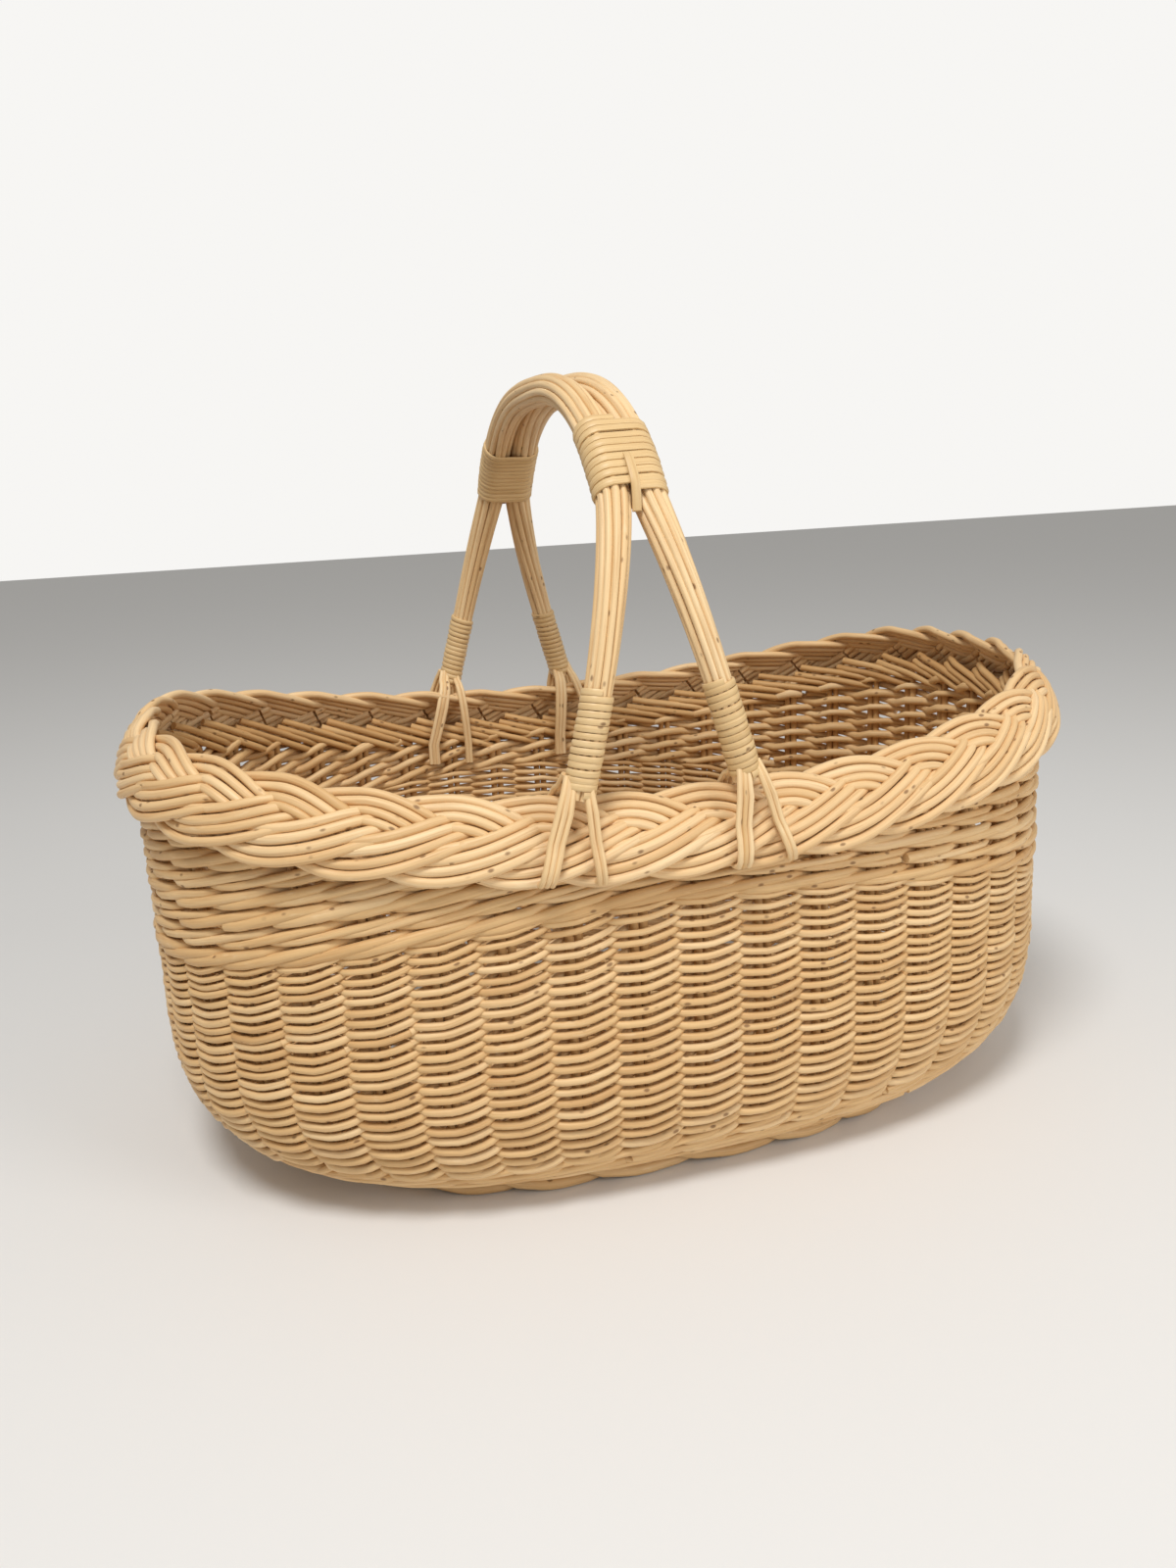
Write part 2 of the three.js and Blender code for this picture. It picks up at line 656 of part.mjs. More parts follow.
function makeTails(legName, side, front) {
  const outerRods = side < 0 ? LEFT_LEG_OUTER_RODS : RIGHT_LEG_OUTER_RODS;
  const innerRods = LEG_RODS - outerRods;
  const groups = [
    { name: "outside_tails_a", route: outsideTail(), rods: outerRods, place: 1 },
    { name: "outside_tails_b", route: outsideTail(), rods: innerRods, place: -1 },
    { name: "inside_tails_a", route: insideTail(), rods: outerRods, place: 1 },
    { name: "inside_tails_b", route: insideTail(), rods: innerRods, place: -1 },
  ];
  const legX = HANDLE_OFFSET + side * LEG_SPREAD;
  for (const group of groups) {
    const width = group.rods * HANDLE_ROD_DIAMETER;
    const startX = legX + group.place * side * (width / 2 + CLEARANCE);
    const splay = side * (group.place > 0 ? OUTER_GROUP_SPLAY : INNER_GROUP_SPLAY);
    const last = group.route.length - 1;
    const path = group.route.map(({ out, up, onLeg }, i) => {
      const x = startX + (splay * i) / last;
      const rimReach = ovalReach(WALL_HALF_LENGTH, WALL_HALF_WIDTH, WALL_SQUARENESS, x);
      const y = (onLeg ? archHalfWidth : rimReach) + out;
      const z = rimHeightAt(x) + up;
      return new THREE.Vector3(x, front ? -y : y, z);
    });
    makeStrip(`${legName}_${group.name}`, path, width, materials.handle);
  }
}

// The strap that locks a shoulder binding lies over its lowest turns and tucks in between the bundles.
function makeStrap(name, front) {
  const skeinReach = (BUNDLE_RADIUS + CLEARANCE + SKEIN_THICKNESS / 2) / Math.cos(cornerAngle / 2);
  const outer = skeinReach + SKEIN_THICKNESS + CLEARANCE;
  const valley = Math.sqrt(BUNDLE_RADIUS ** 2 - (pairSpacing - STRAP_WIDTH / 2) ** 2);
  const tuck = valley + SKEIN_THICKNESS + 2 * CLEARANCE;
  const start = SHOULDER_BINDING_START;
  const route = [
    [start + STRAP_LENGTH, outer],
    [start + STRAP_LENGTH / 2, outer],
    [start, outer],
    [start - STRAP_TUCK / 2, (outer + tuck) / 2],
    [start - STRAP_TUCK, tuck],
  ];
  const rings = route.map(([distance, out]) => {
    const frame = bundleFrame(front ? distance : archLength - distance, 0);
    const half = SKEIN_THICKNESS / 2;
    const wide = STRAP_WIDTH / 2;
    return [
      framePoint(frame, -wide, out - half),
      framePoint(frame, wide, out - half),
      framePoint(frame, wide, out + half),
      framePoint(frame, -wide, out + half),
    ];
  });
  addPiece(name, bodyThrough(rings, false), materials.skein);
}

// The plaited border has a socket for the lower end of each leg.
function makePlait() {
  const rings = planTurns.map((turn) =>
    Array.from({ length: PLAIT_SIDES }, (_, j) => {
      const { out, up } = plaitOffset((2 * Math.PI * j) / PLAIT_SIDES, 0);
      return rimPoint(turn, out, up);
    }),
  );
  const sockets = [-1, 1].map((side) => toSolid(bundleBody(side, CLEARANCE)));
  const plait = wasm.Manifold.difference([toSolid(bodyThrough(rings, true)), ...sockets]);
  addPiece("plaited_border", toGeometry(plait), materials.border);
}

function makeHandle() {
  addPiece("handle_bundle_left", bundleBody(-1, 0), materials.handle);
  addPiece("handle_bundle_right", bundleBody(1, 0), materials.handle);
  for (const front of [true, false]) {
    const end = front ? "front" : "back";
    const legStart = front ? LEG_BINDING_START : archLength - LEG_BINDING_START - LEG_BINDING_LENGTH;
    for (const side of [-1, 1]) {
      const leg = `${end}_${side < 0 ? "left" : "right"}_leg`;
      makeBinding(`${leg}_binding`, side, legStart, LEG_BINDING_LENGTH, LEG_BINDING_TURNS, 0);
      makeTails(leg, side, front);
    }
    const shoulderStart = front
      ? SHOULDER_BINDING_START
      : archLength - SHOULDER_BINDING_START - SHOULDER_BINDING_LENGTH;
    const turns = front ? FRONT_SHOULDER_TURNS : BACK_SHOULDER_TURNS;
    makeBinding(`${end}_shoulder_binding`, 0, shoulderStart, SHOULDER_BINDING_LENGTH, turns, pairSpacing);
    makeStrap(`${end}_shoulder_strap`, front);
  }
}

makeFootRing();
makeBase();
makeWall();
makeStakes();
makePlait();
makeHandle();
console.log(`least gap of all windings to themselves ${leastGap.toFixed(2)} mm`);

export default basket;
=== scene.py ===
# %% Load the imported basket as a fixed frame
import math

import bpy
import numpy as np
from mathutils import Matrix, Vector


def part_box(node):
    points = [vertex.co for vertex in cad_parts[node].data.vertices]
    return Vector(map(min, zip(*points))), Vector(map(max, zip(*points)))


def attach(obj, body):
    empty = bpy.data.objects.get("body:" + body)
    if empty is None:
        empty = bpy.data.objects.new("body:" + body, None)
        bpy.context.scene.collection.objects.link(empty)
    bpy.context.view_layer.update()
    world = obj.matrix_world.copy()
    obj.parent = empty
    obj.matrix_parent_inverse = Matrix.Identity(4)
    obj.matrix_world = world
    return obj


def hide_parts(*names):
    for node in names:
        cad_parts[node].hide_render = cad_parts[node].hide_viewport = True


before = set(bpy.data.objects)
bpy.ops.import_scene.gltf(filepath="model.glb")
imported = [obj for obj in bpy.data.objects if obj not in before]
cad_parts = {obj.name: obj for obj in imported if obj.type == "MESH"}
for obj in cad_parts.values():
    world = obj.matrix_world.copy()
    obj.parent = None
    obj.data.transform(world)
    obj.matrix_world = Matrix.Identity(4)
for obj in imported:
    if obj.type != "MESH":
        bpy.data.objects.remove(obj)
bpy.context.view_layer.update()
print("nodes in the packed model:", len(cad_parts))

# %% [markdown]
# This lesson dresses the solids of a willow market basket. A basket is made of
# one thing only, round willow rods, so nearly every piece below is a set of
# rods that follow the paths a weaver's hands give them. The lengths are in
# millimetres, as on a maker's drawing, and every mesh is turned into metres
# as it is laid down.

# %% The camera stands where the photograph was taken
CAMERA_PLACE = Vector((-0.2234, -0.7527, 0.4094))
CAMERA_YAW = 0.2762
CAMERA_PITCH = 0.2568
CAMERA_ROLL = 0.0478
FOCAL_PIXELS = 1218.9
IMAGE_HEIGHT = 1600

yaw_cos, yaw_sin = math.cos(CAMERA_YAW), math.sin(CAMERA_YAW)
forward = Vector((yaw_sin * math.cos(CAMERA_PITCH), yaw_cos * math.cos(CAMERA_PITCH),
                  -math.sin(CAMERA_PITCH)))
level_right = Vector((yaw_cos, -yaw_sin, 0))
level_down = forward.cross(level_right)
right = math.cos(CAMERA_ROLL) * level_right + math.sin(CAMERA_ROLL) * level_down
down = -math.sin(CAMERA_ROLL) * level_right + math.cos(CAMERA_ROLL) * level_down
bpy.ops.object.select_all(action="DESELECT")
bpy.ops.object.camera_add(location=CAMERA_PLACE)
camera = bpy.context.object
camera.matrix_world = Matrix.Translation(CAMERA_PLACE) @ Matrix(
    (right, -down, -forward)).transposed().to_4x4()
camera.data.sensor_width = 36
camera.data.lens = FOCAL_PIXELS * 36 / IMAGE_HEIGHT
bpy.context.scene.camera = camera
print("camera lens, mm:", round(camera.data.lens, 2))

# %% [markdown]
# The floor is a plain pale sheet that keeps the basket's shadow. The light is
# one large lamp high on the left, a weaker one from the right, and a pale sky
# that fills the gaps between the rods. Their levels are chosen so that a
# colour comes out about as it is written.

# %% Floor, sky and lamps
scene = bpy.context.scene
scene.view_settings.view_transform = "Standard"


def add_lamp(name, place, aim, size, power):
    bpy.ops.object.light_add(type="AREA", location=place)
    lamp = bpy.context.object
    lamp.name = name
    lamp.data.shape = "DISK"
    lamp.data.size = size
    lamp.data.energy = power
    lamp.rotation_euler = (Vector(aim) - Vector(place)).to_track_quat("-Z", "Y").to_euler()
    return lamp


bpy.ops.object.select_all(action="DESELECT")
bpy.ops.mesh.primitive_plane_add(size=12, location=(0, 0, 0))
floor = bpy.context.object
floor.name = "floor"
floor_finish = bpy.data.materials.new("pale_floor")
floor_finish.use_nodes = True
floor_shader = floor_finish.node_tree.nodes["Principled BSDF"]
floor_shader.inputs["Base Color"].default_value = (0.78, 0.77, 0.75, 1)
floor_shader.inputs["Roughness"].default_value = 0.9
floor.data.materials.append(floor_finish)

sky = bpy.data.worlds.new("soft_sky")
scene.world = sky
sky.use_nodes = True
sky_light = sky.node_tree.nodes["Background"]
sky_light.inputs["Color"].default_value = (1.0, 0.985, 0.96, 1)
sky_light.inputs["Strength"].default_value = 0.42
seen_sky = sky.node_tree.nodes.new("ShaderNodeBackground")
seen_sky.inputs["Color"].default_value = (0.93, 0.92, 0.9, 1)
light_path = sky.node_tree.nodes.new("ShaderNodeLightPath")
sky_choice = sky.node_tree.nodes.new("ShaderNodeMixShader")
sky.node_tree.links.new(light_path.outputs["Is Camera Ray"], sky_choice.inputs[0])
sky.node_tree.links.new(sky_light.outputs[0], sky_choice.inputs[1])
sky.node_tree.links.new(seen_sky.outputs[0], sky_choice.inputs[2])
sky.node_tree.links.new(sky_choice.outputs[0], sky.node_tree.nodes["World Output"].inputs[0])

add_lamp("key_lamp", (-0.55, -0.95, 2.1), (0, 0, 0.15), 0.7, 30)
add_lamp("fill_lamp", (1.2, -1.5, 1.0), (0, 0, 0.2), 1.0, 12)

# %% [markdown]
# Materials come from numbers at each point: where it lies along its rod, and
# how deep in the wood's grain. This small class wraps a socket, so that an
# expression such as `1 - streak * 0.3` adds its own Math nodes.


# %% A wrapper that turns arithmetic into shader nodes
class Wire:
    def __init__(self, tree, socket):
        self.tree = tree
        self.socket = socket

    def node(self, kind, settings=None, **inputs):
        """Add any node: its settings are set first, then its sockets."""
        made = self.tree.nodes.new(kind)
        for key, value in (settings or {}).items():
            setattr(made, key, value)
        for key, value in inputs.items():
            socket = made.inputs[int(key[1:])] if key[1:].isdigit() else made.inputs[key]
            if isinstance(value, Wire):
                self.tree.links.new(value.socket, socket)
            else:
                socket.default_value = value
        return made

    def wire(self, made, output=0):
        return Wire(self.tree, made.outputs[output])

    def maths(self, operation, first, second):
        made = self.node("ShaderNodeMath", {"operation": operation}, _0=first, _1=second)
        return self.wire(made)

    def __add__(self, other):
        return self.maths("ADD", self, other)

    def __sub__(self, other):
        return self.maths("SUBTRACT", self, other)

    def __mul__(self, other):
        return self.maths("MULTIPLY", self, other)

    def __radd__(self, other):
        return self.maths("ADD", other, self)

    def __rsub__(self, other):
        return self.maths("SUBTRACT", other, self)

    def stretched(self, along, across):
        """Scale a rod's own space: x runs along the rod, y and z across it."""
        return self.wire(self.node("ShaderNodeVectorMath", {"operation": "MULTIPLY"},
                                   _0=self, _1=(along, across, across)))

    def noise(self, along, across, detail=3.0):
        """Noise between about 0 and 1, drawn out along the rod."""
        made = self.node("ShaderNodeTexNoise", None, Vector=self.stretched(along, across),
                         Scale=1.0, Detail=detail, Roughness=0.6)
        return self.wire(made)

    def smooth(self, low, high):
        """0 below low, 1 above high, and a soft step between."""
        made = self.node("ShaderNodeMapRange", {"interpolation_type": "SMOOTHSTEP"}, Value=self)
        made.inputs["From Min"].default_value = low
        made.inputs["From Max"].default_value = high
        return self.wire(made)

    def mix(self, first, second):
        """Mix two colours, with this value as the factor."""
        made = self.node("ShaderNodeMix", {"data_type": "RGBA"}, _0=self, _6=first, _7=second)
        return self.wire(made, 2)


# %% [markdown]
# Buff willow is boiled in its bark and then peeled, which stains it a warm
# honey colour. Every rod takes the stain a little differently, fine streaks
# run along it, small dark scars show where buds grew, and now and then a
# scuff is paler. All rods share one recipe, and each kind of piece gets its
# own shades of it.


# %% The willow recipe
def linear(red, green, blue):
    """A colour picked from the screen, 0 to 255, as Blender's linear colour."""
    shades = [value / 255 for value in (red, green, blue)]
    return tuple(value / 12.92 if value < 0.04045 else ((value + 0.055) / 1.055) ** 2.4
                 for value in shades)


def willow(name, pale, honey, tan, roughness, bud_share=0.06, streak_across=900):
    finish = bpy.data.materials.new(name)
    finish.use_nodes = True
    tree = finish.node_tree
    shader = tree.nodes["Principled BSDF"]
    start = Wire(tree, None)
    place = start.wire(start.node("ShaderNodeAttribute", {"attribute_name": "rod_place"}), 1)
    tint = start.wire(start.node("ShaderNodeAttribute", {"attribute_name": "rod_tint"}), 2)
    stain = place.noise(9, 60, 2.0)
    streak = place.noise(30, streak_across, 3.0)
    scuff = place.noise(70, 260, 2.0)
    cells = place.node("ShaderNodeTexVoronoi", None, Vector=place.stretched(170, 300), Scale=1.0)
    bud_cell = place.node("ShaderNodeSeparateColor", None, Color=place.wire(cells, 1))
    bud = (1 - place.wire(cells, 0).smooth(0.16, 0.42)) * (
        1 - place.wire(bud_cell).smooth(bud_share, bud_share + 0.01))

    depth_of_stain = tint * 0.38 + stain * 0.7 - 0.06
    colour = depth_of_stain.smooth(0.08, 0.5).mix((*pale, 1), (*honey, 1))
    colour = depth_of_stain.smooth(0.45, 0.95).mix(colour, (*tan, 1))
    colour = (streak.smooth(0.42, 0.75) * 0.34).mix(colour, (*linear(172, 118, 62), 1))
    colour = (scuff.smooth(0.6, 0.82) * 0.3).mix(colour, (*linear(243, 222, 182), 1))
    colour = (bud * 0.75).mix(colour, (*linear(112, 72, 38), 1))
    tree.links.new(colour.socket, shader.inputs["Base Color"])

    gloss = roughness + streak * 0.16 + bud * 0.15 - scuff * 0.06
    tree.links.new(gloss.socket, shader.inputs["Roughness"])
    height = streak * 0.5 + scuff * 0.35 - bud * 0.6
    bump = place.node("ShaderNodeBump", None, Height=height)
    bump.inputs["Strength"].default_value = 0.35
    bump.inputs["Distance"].default_value = 0.0004
    tree.links.new(bump.outputs["Normal"], shader.inputs["Normal"])
    shader.inputs["Specular IOR Level"].default_value = 0.42
    return finish


finishes = {
    "weave_willow": willow("weave_willow", linear(236, 205, 158), linear(222, 184, 130),
                           linear(194, 148, 92), 0.50),
    "border_willow": willow("border_willow", linear(240, 211, 166), linear(230, 194, 143),
                            linear(205, 162, 106), 0.46),
    "handle_willow": willow("handle_willow", linear(243, 216, 172), linear(233, 200, 150),
                            linear(212, 172, 116), 0.45, 0.05),
    "stake_willow": willow("stake_willow", linear(222, 184, 130), linear(204, 162, 106),
                           linear(176, 130, 78), 0.55, 0.09),
    "skein": willow("skein", linear(236, 209, 163), linear(222, 190, 138),
                    linear(196, 160, 106), 0.40, 0.02, 1500),
}
print("finishes:", sorted(finishes))

# %% [markdown]
# Every path is built on the same wall as the solids: an oval that swells from
# the foot to the belly. A place on it is given as a weaver would: which of
# the 44 pairs of stakes, how high, and how deep into the wall.

# %% The wall's shape
MM = 0.001
STAKES = 44
BASE_LENGTH, BASE_WIDTH, BASE_SQUARENESS = 206, 153, 2.9
WALL_LENGTH, WALL_WIDTH, WALL_SQUARENESS = 294, 187, 2.65
WALL_BOTTOM, BELLY_HEIGHT, CURVE_POWER = 13.3, 84.7, 2.3


def oval(length, width, squareness, turn):
    cosine, sine = np.cos(turn), np.sin(turn)
    x = length * np.sign(cosine) * np.abs(cosine) ** (2 / squareness)
    y = width * np.sign(sine) * np.abs(sine) ** (2 / squareness)
    return np.stack([x, y], -1)


fine_turns = np.linspace(0, 2 * np.pi, 7201)
outline = oval(WALL_LENGTH, WALL_WIDTH, WALL_SQUARENESS, fine_turns)
outline_steps = np.linalg.norm(np.diff(outline, axis=0), axis=1)
outline_run = np.concatenate([[0], np.cumsum(outline_steps)])
STAKE_STEP = outline_run[-1] / STAKES
print("stakes stand", round(STAKE_STEP, 1), "mm apart at the rim")


def turn_at(stake):
    """The oval's turn where a stake stands; stake 0 is the right-hand end."""
    return np.interp(np.mod(stake, STAKES) * STAKE_STEP, outline_run, fine_turns)


def wall_edge(turn, share):
    """A point on the wall's outline, share 0 at the foot to 1 at the belly."""
    length = BASE_LENGTH + (WALL_LENGTH - BASE_LENGTH) * share
    width = BASE_WIDTH + (WALL_WIDTH - BASE_WIDTH) * share
    squareness = BASE_SQUARENESS + (WALL_SQUARENESS - BASE_SQUARENESS) * share
    return oval(length, width, squareness, turn)


def inward_at(turn, share):
    """The level direction square to the wall, towards the inside."""
    step = 0.004
    along = wall_edge(turn + step, share) - wall_edge(turn - step, share)
    along = along / np.linalg.norm(along, axis=-1, keepdims=True)
    return np.stack([-along[..., 1], along[..., 0]], -1)


def on_wall(stake, level, depth):
    """Points in the wall: level is a height, depth is measured square to it."""
    stake, level, depth = np.broadcast_arrays(*(np.asarray(v, float) for v in (stake, level, depth)))
    turn = turn_at(stake)
    left = 1 - np.clip((level - WALL_BOTTOM) / BELLY_HEIGHT, 0, 1)
    share = (1 - left ** CURVE_POWER) ** (1 / CURVE_POWER)
    overhang = np.linalg.norm(wall_edge(turn, 1.0) - wall_edge(turn, 0.0), axis=-1)
    outward = np.maximum(share, 0.02) ** (CURVE_POWER - 1) / overhang
    downward = left ** (CURVE_POWER - 1) / BELLY_HEIGHT
    size = np.hypot(outward, downward)
    edge = wall_edge(turn, share) + inward_at(turn, share) * (depth * outward / size)[..., None]
    return np.concatenate([edge, (level + depth * downward / size)[..., None]], -1)


def rim_level(stake):
    """The rim dips along the sides and rises to both ends."""
    x = wall_edge(turn_at(stake), 1.0)[..., 0]
    return 224 + 40 * (x / WALL_LENGTH) ** 2


def walk_down(stake, top, walk):
    """The level a walk down the wall's curve ends at, or 0 when it passes the foot's edge."""
    bend = np.linspace(0, np.pi / 2, 121)
    share, left = np.sin(bend) ** (2 / CURVE_POWER), np.cos(bend) ** (2 / CURVE_POWER)
    levels = WALL_BOTTOM + BELLY_HEIGHT * (1 - left)
    turn = turn_at(stake)
    overhang = np.linalg.norm(wall_edge(turn, 1.0) - wall_edge(turn, 0.0), axis=-1)
    reached = []
    for reach, start, distance in zip(overhang, top, walk):
        steps = np.hypot(reach * np.diff(share), np.diff(levels))
        walked = np.concatenate([[0], np.cumsum(steps)])
        place = np.interp(start, levels, walked) - distance
        reached.append(np.interp(place, walked, levels) if place > 0 else 0.0)
    return np.array(reached)


def on_foot(stake, inset, height):
    """Points beside the foot's outline: inset is measured level, towards the middle."""
    stake, inset, height = np.broadcast_arrays(*(np.asarray(v, float) for v in (stake, inset, height)))
    turn = turn_at(stake)
    edge = wall_edge(turn, 0.0) + inward_at(turn, 0.0) * inset[..., None]
    return np.concatenate([edge, height[..., None]], -1)


# %% [markdown]
# A rod is a round bar that tapers from its butt to its tip. By hand it would
# be a path curve with a round bevel, and so it is here: one curve object
# holds all the rods of a piece, each point has its own radius, and converting
# it makes the mesh. Each point of that mesh then remembers its place in the
# straight rod, so that the grain follows every bend, and its rod's tint.

# %% Laying a set of rods
chance = np.random.default_rng(11)


def dress(piece, slot, nodes=()):
    """Give a piece its finish, its body and the solids that it stands for."""
    piece.data.materials.clear()
    piece.data.materials.append(finishes[slot])
    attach(piece, "root")
    if nodes:
        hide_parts(*nodes)
    piece.data.calc_loop_triangles()
    print(piece.name, len(piece.data.loop_triangles), "triangles")


def remember_rods(mesh, place, tint):
    """Write each point's place in its straight rod, in metres, and its tint."""
    for name, kind, field, values in (("rod_place", "FLOAT_VECTOR", "vector", place * MM),
                                      ("rod_tint", "FLOAT", "value", tint)):
        mesh.attributes.new(name, kind, "POINT").data.foreach_set(
            field, np.asarray(values, dtype=np.float32).ravel())


def lay_rods(name, rods, sides, slot, nodes=()):
    """Sweep a round section along each of the (points, radii) pairs."""
    bpy.ops.object.select_all(action="DESELECT")
    bpy.ops.curve.primitive_nurbs_path_add(location=(0, 0, 0))
    piece = bpy.context.object
    piece.name = name
    curve = piece.data
    curve.splines.clear()
    curve.dimensions = "3D"
    curve.bevel_depth = 1.0
    curve.bevel_resolution = (sides - 4) // 2
    for points, radii in rods:
        spline = curve.splines.new("POLY")
        spline.points.add(len(points) - 1)
        homogeneous = np.column_stack([points * MM, np.ones(len(points))])
        spline.points.foreach_set("co", homogeneous.ravel())
        spline.points.foreach_set("radius", np.asarray(radii) * MM)
    bpy.ops.object.convert(target="MESH")
    piece = bpy.context.object
    bpy.ops.object.mode_set(mode="EDIT")
    bpy.ops.mesh.select_all(action="SELECT")
    bpy.ops.mesh.fill_holes(sides=0)
    bpy.ops.mesh.normals_make_consistent(inside=False)
    bpy.ops.object.mode_set(mode="OBJECT")
    around = len(piece.data.vertices) // sum(len(points) for points, _ in rods)
    angle = np.arange(around) * 2 * np.pi / around
    place, tint = [], []
    for points, radii in rods:
        steps = np.linalg.norm(np.diff(points, axis=0), axis=1)
        run = np.concatenate([[0], np.cumsum(steps)]) + chance.uniform(0, 9000)
        radii = np.asarray(radii)
        place.append(np.stack([np.repeat(run, around).reshape(-1, around),
                               radii[:, None] * np.cos(angle),
                               radii[:, None] * np.sin(angle)], -1).reshape(-1, 3))
        tint.append(np.full(len(points) * around, chance.uniform(0, 1)))
    remember_rods(piece.data, np.concatenate(place), np.concatenate(tint))
    bpy.ops.object.shade_smooth_by_angle(angle=math.radians(55))
    dress(piece, slot, nodes)


def wander(run, amount, spacing=1.0):
    """Small uneven shifts, as no hand lays a rod quite evenly."""
    knots = np.arange(math.floor(run[0] / spacing) - 1, math.ceil(run[-1] / spacing) + 2) * spacing
    return np.interp(run, knots, chance.normal(0, amount, len(knots)))


def repeated(run, period, knots, values):
    """A pattern given at a few places, repeated all along a rod."""
    return np.interp(run, knots, values, period=period)


# %% [markdown]
# The stakes are the uprights. They stand in pairs, start in the edge of the
# base, turn up at the foot and lean over to the right under the border, where they
# show inside as a slanting band before they rise into the plait. The band is
# part of the same rods, so each stake is one path from base to border.

# %% Stakes
STAKE_RADIUS = 2.5
STAKE_DEPTH = 7.4
PAIR_OFFSET = 2.6
BAND_REACH = 1.8
BAND_DROP, BAND_RISE = 25, 19
stake_rods = []
for stake in range(STAKES):
    rim = float(rim_level(np.array(stake)))
    for side in (-1, 1):
        offset = side * PAIR_OFFSET / STAKE_STEP
        lean = np.linspace(0, BAND_REACH, 14)
        under_base = on_foot(stake + offset, [30, 18, 8], [12.5, 14.5, 18.5])
        levels = np.concatenate([[13.7, 15, 17.5, 21.5], np.linspace(27, rim - 33, 14)])
        depths = STAKE_DEPTH + chance.normal(0, 0.15, 18)
        upright = np.concatenate([under_base, on_wall(stake + offset, levels, depths)])
        lean_stake = stake + offset + lean
        band_level = BAND_RISE * (lean / BAND_REACH) ** 0.9 - side * 2.4
        lean_level = rim_level(lean_stake) - BAND_DROP + band_level
        lean_depth = np.interp(lean, [0, 0.35, 1.5, BAND_REACH], [8.0, 12.6, 12.2, 8.5])
        slanting = on_wall(lean_stake, lean_level, lean_depth)
        points = np.concatenate([upright, slanting])
        radii = STAKE_RADIUS * chance.uniform(0.92, 1.08) * np.ones(len(points))
        stake_rods.append((points, radii))
lay_rods("stake_rods", stake_rods, 8, "stake_willow", ("stakes",))


# %% [markdown]
# The belly is a French rand: one rod beside each stake, and all rods climb
# together. A rod passes level in front of a stake, then climbs as it goes
# in behind the next one, and lies over its neighbour halfway. That gives
# the rows of short slanting strokes, with the stakes' sides showing between.
# The rows close up where the upper wale hangs lower towards both ends.

# %% Belly
BELLY_ROWS = 22
ROD_STEPS = 8

# Over two stakes: the rows that a rod climbs, and its depth in the wall.
CLIMB_PLACES = [0, 0.3, 0.7, 1.0, 1.15, 1.5, 1.75, 1.9]
CLIMBS = [0.35, 0.25, 0.08, 0, 0.1, 0.62, 1.0, 1.25]
DEPTH_PLACES = [0, 0.35, 0.5, 0.6, 0.75, 0.9, 1.0, 1.25, 1.4, 1.5, 1.6, 1.75]
DEPTHS = [2.2, 2.0, 3.2, 5.4, 9.0, 11.5, 12.2, 11.6, 9.0, 6.5, 3.4, 2.5]


def wale_low(stake):
    """The lower edge of the upper wale, highest near the middle of the sides."""
    x = wall_edge(turn_at(stake), 1.0)[..., 0]
    return 177 - 40 * (np.abs(x + 30) / 300) ** 1.6


def round_climb(stake):
    """How far a spiral has climbed on its way round: 0 to 1, then quickly back."""
    return np.interp(np.mod(stake, STAKES), [0, STAKES - 2, STAKES], [0, 1, 0])


def belly_low(stake):
    """The lower edge of the belly, which climbs with the spiral."""
    return 26.5 + 5.5 * round_climb(stake)


def belly_path(start, run):
    """The level and depth of the rod that starts at a stake, along its run."""
    row = np.floor((run + 1) / 2) + repeated(run + 1, 2, CLIMB_PLACES, CLIMBS)
    depth = repeated(run, 2, DEPTH_PLACES, DEPTHS)
    place = np.clip(row / BELLY_ROWS, -0.02, 1.04)
    stake = start + run
    low = belly_low(stake)
    top = wale_low(stake) + 9.5 * round_climb(stake) - 2
    level = low + (top - low) * (1.08 * place - 0.08 * place ** 2)
    return level + wander(run, 0.38), depth + wander(run, 0.3)


belly_rods = []
last_run = 2 * BELLY_ROWS
for start in range(STAKES):
    join = 27 + 2 * chance.integers(-3, 3)
    lower_rod = (-0.8, join + 0.3, 2.45, 2.1)
    upper_rod = (join - 0.5, last_run + 0.6, 2.35, 1.8)
    for first, last, butt, tip in (lower_rod, upper_rod):
        run = np.arange(round(first * ROD_STEPS), round(last * ROD_STEPS) + 1) / ROD_STEPS
        level, depth = belly_path(start, run)
        radii = np.linspace(butt, tip, len(run)) * chance.uniform(0.93, 1.07)
        belly_rods.append((on_wall(start + run, level, depth), radii))
lay_rods("belly_rand_lower", belly_rods[0::2], 8, "weave_willow", ("belly_weave",))
lay_rods("belly_rand_upper", belly_rods[1::2], 8, "weave_willow")

# %% [markdown]
# Two bands of waling hold the rand: one at the foot and a deep one under
# the border. In a three-rod wale each rod passes in front of two stakes and
# behind one, always over the top of the other two, so it shows as a long
# float that rises to the right. The foot's rounds lie side by side under the
# basket's curve, and the lowest ones fill only the two ends, where the wall
# reaches out furthest.


# %% Wales
def wale_path(run, strand):
    """How far a strand has risen in its round, and its depth in the wall."""
    phase = run - strand
    rise = repeated(phase, 3, [0, 1, 1.6, 2, 2.4], [0.04, 0.46, 0.62, 0.5, 0.0])
    depth = repeated(phase, 3, [0, 0.5, 1.0, 1.4, 1.7, 2.0, 2.25, 2.5, 2.75],
                     [2.8, 2.5, 2.8, 3.8, 8.8, 13.0, 11.0, 6.4, 3.4])
    return rise, depth


